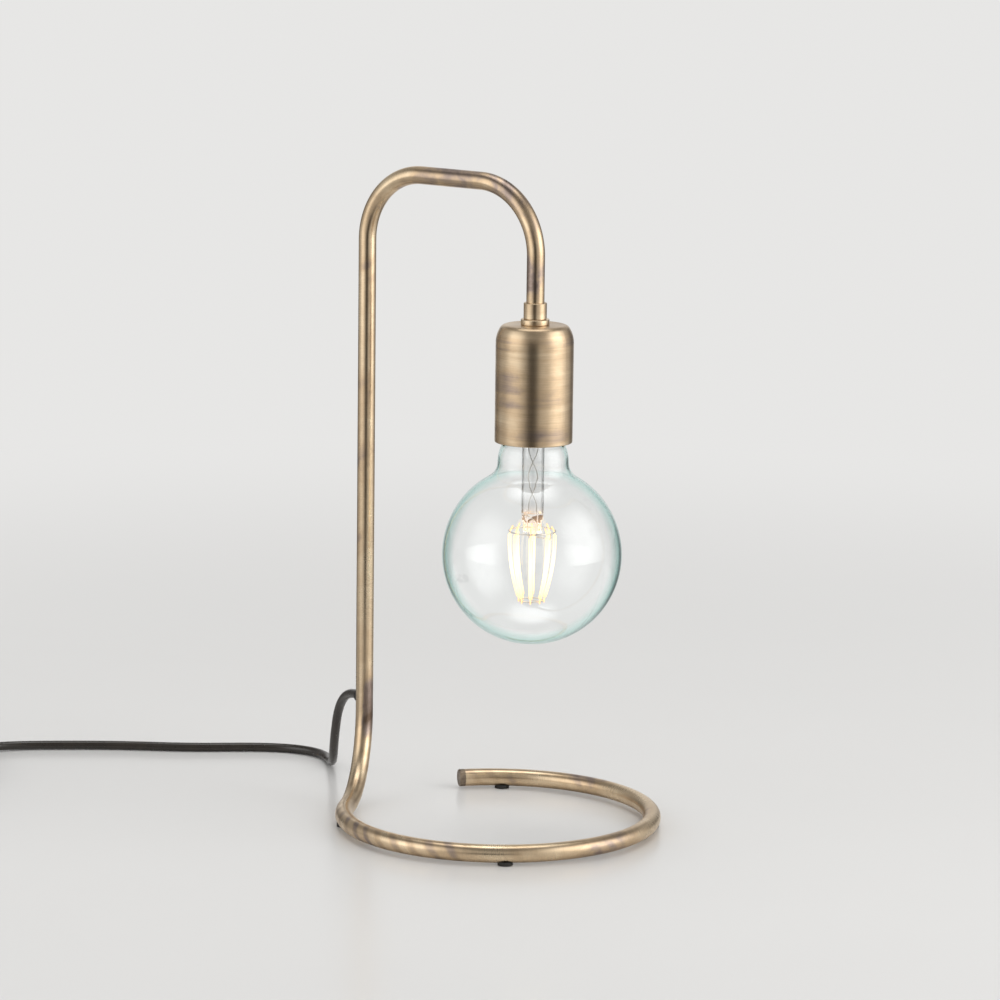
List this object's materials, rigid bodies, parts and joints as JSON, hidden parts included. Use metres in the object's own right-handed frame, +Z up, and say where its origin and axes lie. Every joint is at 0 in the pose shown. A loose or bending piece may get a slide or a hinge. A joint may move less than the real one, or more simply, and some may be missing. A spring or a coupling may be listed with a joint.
{
  "type": "table lamp",
  "caption": "Bare bulb table lamp bent from one brass tube: open ring base, upright stem and arched arm with a clear globe bulb hanging from a cup.",
  "frame": {"origin": "on the table, below the middle of the lamp's box without its cord", "axes": "+Z up, +X from the stem along the arm towards the bulb"},
  "size_m": [0.4628, 0.3184, 0.35],
  "materials": {
    "antique_brass": "brushed, darkened with age",
    "aged_brass": "dull, darker than the tube",
    "pad_rubber": "dark, soft",
    "bush_rubber": "matte",
    "zinc_steel": "zinc plated",
    "contact_brass": "bright",
    "holder_plastic": "smooth phenolic moulding",
    "white_ceramic": "glazed",
    "brown_core": "insulation",
    "blue_core": "insulation",
    "clear_glass": "clear, faintly green at its edges",
    "support_wire": "drawn wire",
    "filament": "phosphor coating",
    "circuit_board": "lacquered board",
    "nickel_cap": "nickel plated",
    "black_insulator": "black glass",
    "cord_sheath": "smooth sheath",
    "switch_plastic": "moulded, fine texture",
    "rocker_plastic": "polished",
    "plug_plastic": "moulded",
    "pin_metal": "nickel plated"
  },
  "bodies": {
    "lamp": {"cable_bush": "bush_rubber", "centre_contact_spring": "contact_brass", "check_washer": "antique_brass", "cord_clamps": "switch_plastic", "cord_coil": "cord_sheath", "cord_to_coil": "cord_sheath", "cord_to_plug": "cord_sheath", "cord_to_switch": "cord_sheath", "dome_grub_screw": "zinc_steel", "foot_pads": "pad_rubber", "holder_cover": "antique_brass", "holder_dome": "holder_plastic", "holder_skirt": "holder_plastic", "lamp_tube": "antique_brass", "live_core": "brown_core", "neutral_core": "blue_core", "nipple_locknut": "zinc_steel", "plug_body": "plug_plastic", "plug_pins": "pin_metal", "rocker_pin": "zinc_steel", "shell_strap": "contact_brass", "switch_base": "switch_plastic", "switch_contacts": "contact_brass", "switch_cover": "switch_plastic", "switch_screws": "zinc_steel", "terminal_block": "white_ceramic", "terminal_posts": "contact_brass", "terminal_screws": "zinc_steel", "thread_shell": "contact_brass", "threaded_nipple": "zinc_steel", "toothed_washer": "zinc_steel", "tube_collar": "antique_brass", "tube_end_cap": "aged_brass"},
    "bulb_tip": {"cap_insulator": "black_insulator", "cap_contact": "nickel_cap"},
    "bulb": {"filament_1": "filament", "filament_2": "filament", "filament_3": "filament", "filament_4": "filament", "filament_5": "filament", "filament_6": "filament", "filament_7": "filament", "filament_8": "filament", "globe_glass": "clear_glass", "glass_stem": "clear_glass", "lead_in_wires": "support_wire", "top_ring": "support_wire", "bottom_ring": "support_wire", "bulb_driver": "circuit_board", "driver_leads": "support_wire", "bulb_cap_shell": "nickel_cap"},
    "rocker": {"switch_rocker": "rocker_plastic"}
  },
  "joints": [
    {"name": "bulb_withdraw", "type": "slide", "parent": "lamp", "child": "bulb_tip", "axis": [0, 0, -1], "range_m": [0, 0.02]},
    {"name": "bulb_turn", "type": "hinge", "parent": "bulb_tip", "child": "bulb", "pos_m": [0.026, 0, 0.225], "axis": [0, 0, -1], "range_deg": [0, 1980]},
    {"name": "switch_rocker", "type": "hinge", "parent": "lamp", "child": "rocker", "pos_m": [-0.28775, -0.1205, 0.0126], "axis": [-0.7953, -0.6062, 0], "range_deg": [0, 18]}
  ],
  "couplings": [
    {"joint": "bulb_withdraw", "follows": "bulb_turn", "m_per_rad": 0.0005775}
  ]
}
